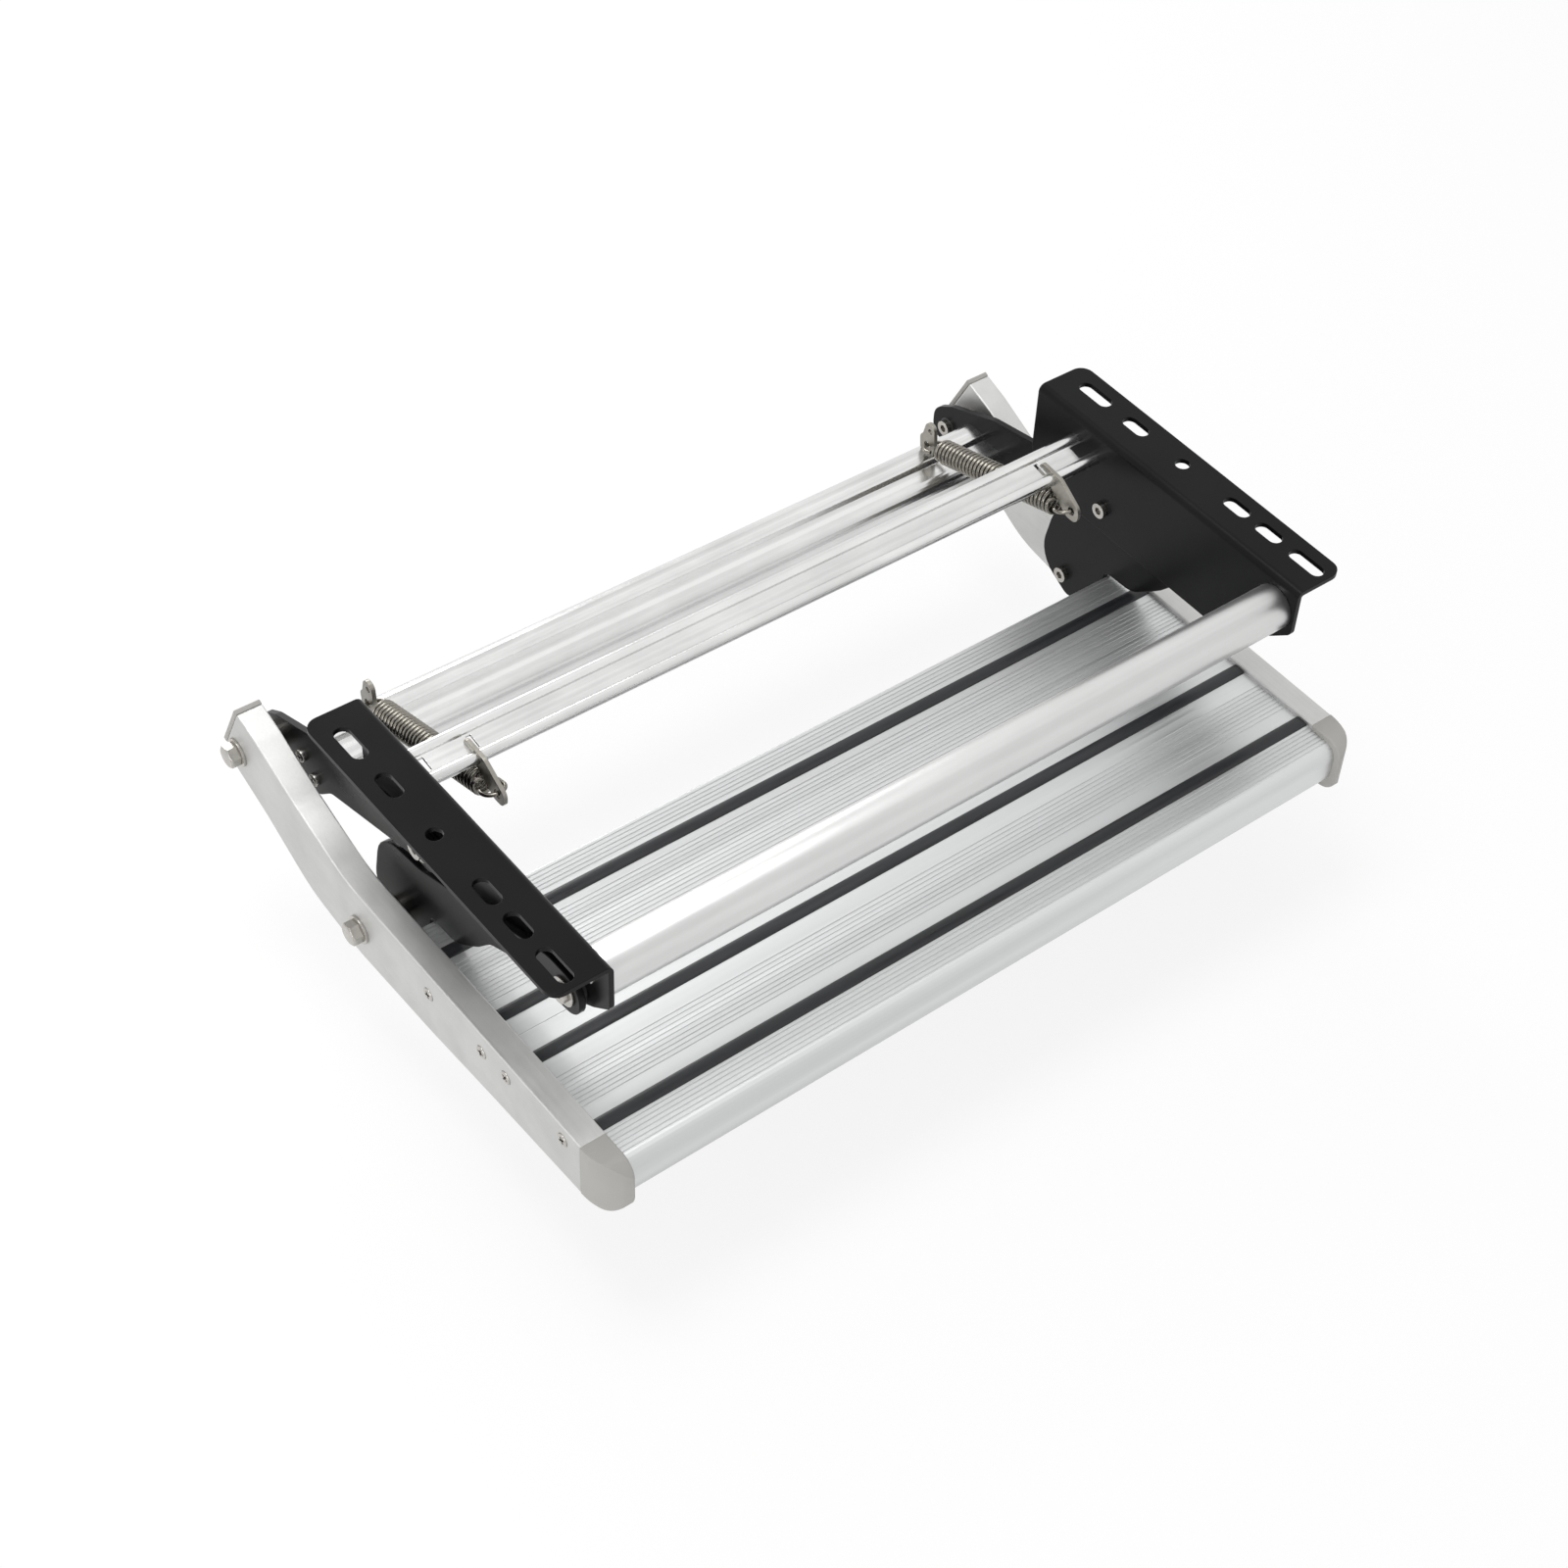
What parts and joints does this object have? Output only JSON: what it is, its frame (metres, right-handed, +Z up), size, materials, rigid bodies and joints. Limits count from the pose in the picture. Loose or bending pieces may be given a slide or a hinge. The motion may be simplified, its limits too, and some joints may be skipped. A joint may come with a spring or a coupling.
{
  "type": "caravan pull out step",
  "caption": "Manual pull out entry step for a caravan door: slotted brackets carry a ribbed tread on swinging links held by tension springs.",
  "frame": {"origin": "on top of the mounting flanges, midway between the two round mounting holes", "axes": "+X to the right seen from in front, +Y towards the vehicle, +Z up out of the mounting flanges"},
  "size_m": [0.537, 0.3608, 0.1478],
  "materials": {
    "black_painted_steel": "satin black paint on steel plate",
    "bright_aluminium": "bright drawn aluminium",
    "anodised_aluminium": "satin anodised aluminium",
    "black_rubber": "matt black rubber",
    "grey_plastic": "moulded warm grey plastic",
    "plated_steel": "plain stainless plate",
    "bright_fasteners": "bright stainless",
    "bush_plastic": "black bearing plastic",
    "spring_steel": "drawn stainless spring wire"
  },
  "bodies": {
    "frame": {"bracket_left": "black_painted_steel", "bracket_right": "black_painted_steel", "front_tube": "bright_aluminium", "rear_crossbar": "bright_aluminium", "spring_hanger_left": "plated_steel", "spring_hanger_right": "plated_steel", "front_tube_screws": "bright_fasteners", "crossbar_screws": "bright_fasteners", "rear_pivot_bolts": "bright_fasteners", "rear_pivot_bushes": "bush_plastic", "rear_pivot_washers": "bright_fasteners", "rear_pivot_nuts": "bright_fasteners", "front_pivot_bolts": "bright_fasteners", "front_pivot_bushes": "bush_plastic", "front_pivot_washers": "bright_fasteners", "front_pivot_nuts": "bright_fasteners"},
    "rear_links": {"rear_link_left": "black_painted_steel", "rear_link_right": "black_painted_steel", "tie_bar": "bright_aluminium", "tie_bar_screws": "bright_fasteners", "spring_eye_left": "plated_steel", "spring_eye_right": "plated_steel"},
    "front_links": {"front_link_left": "black_painted_steel", "front_link_right": "black_painted_steel", "front_link_pins": "bright_fasteners"},
    "step": {"side_arm_left": "anodised_aluminium", "side_arm_right": "anodised_aluminium", "tread_plank_rear": "anodised_aluminium", "tread_plank_front": "anodised_aluminium", "grip_strip_rear": "black_rubber", "grip_strip_middle_rear": "black_rubber", "grip_strip_middle_front": "black_rubber", "grip_strip_front": "black_rubber", "front_end_cap_left": "grey_plastic", "front_end_cap_right": "grey_plastic", "rear_end_cap_left": "grey_plastic", "rear_end_cap_right": "grey_plastic", "tread_screws": "bright_fasteners", "link_bolts": "bright_fasteners", "link_bolt_washers": "bright_fasteners", "link_bolt_spacers": "bright_fasteners", "link_bolt_bushes": "bush_plastic", "link_bolt_nuts": "bright_fasteners", "support_bolts": "bright_fasteners", "support_bolt_washers": "bright_fasteners", "support_bolt_spacers": "bright_fasteners"},
    "springs": {"spring_left": "spring_steel", "spring_right": "spring_steel"}
  },
  "joints": [
    {"name": "rear_link_swing", "type": "hinge", "parent": "frame", "child": "rear_links", "pos_m": [0, 0.037, -0.05], "axis": [-1, 0, 0], "range_deg": [0, 121.48]},
    {"name": "front_link_swing", "type": "hinge", "parent": "frame", "child": "front_links", "pos_m": [0, -0.092, -0.038], "axis": [-1, 0, 0], "range_deg": [0, 94.01]},
    {"name": "arm_level", "type": "hinge", "parent": "rear_links", "child": "step", "pos_m": [0, 0.184, -0.09], "axis": [-1, 0, 0], "range_deg": [-121.49, 0]},
    {"name": "spring_turn", "type": "hinge", "parent": "frame", "child": "springs", "pos_m": [0, 0.02921, -0.02942], "axis": [-1, 0, 0], "range_deg": [0, 104.96], "deforming": ["spring_left", "spring_right"]}
  ],
  "couplings": [
    {"joint": "front_link_swing", "follows": "rear_link_swing", "ratio": 0.77379},
    {"joint": "arm_level", "follows": "rear_link_swing", "ratio": -1},
    {"joint": "spring_turn", "follows": "rear_link_swing", "ratio": 0.8639}
  ]
}
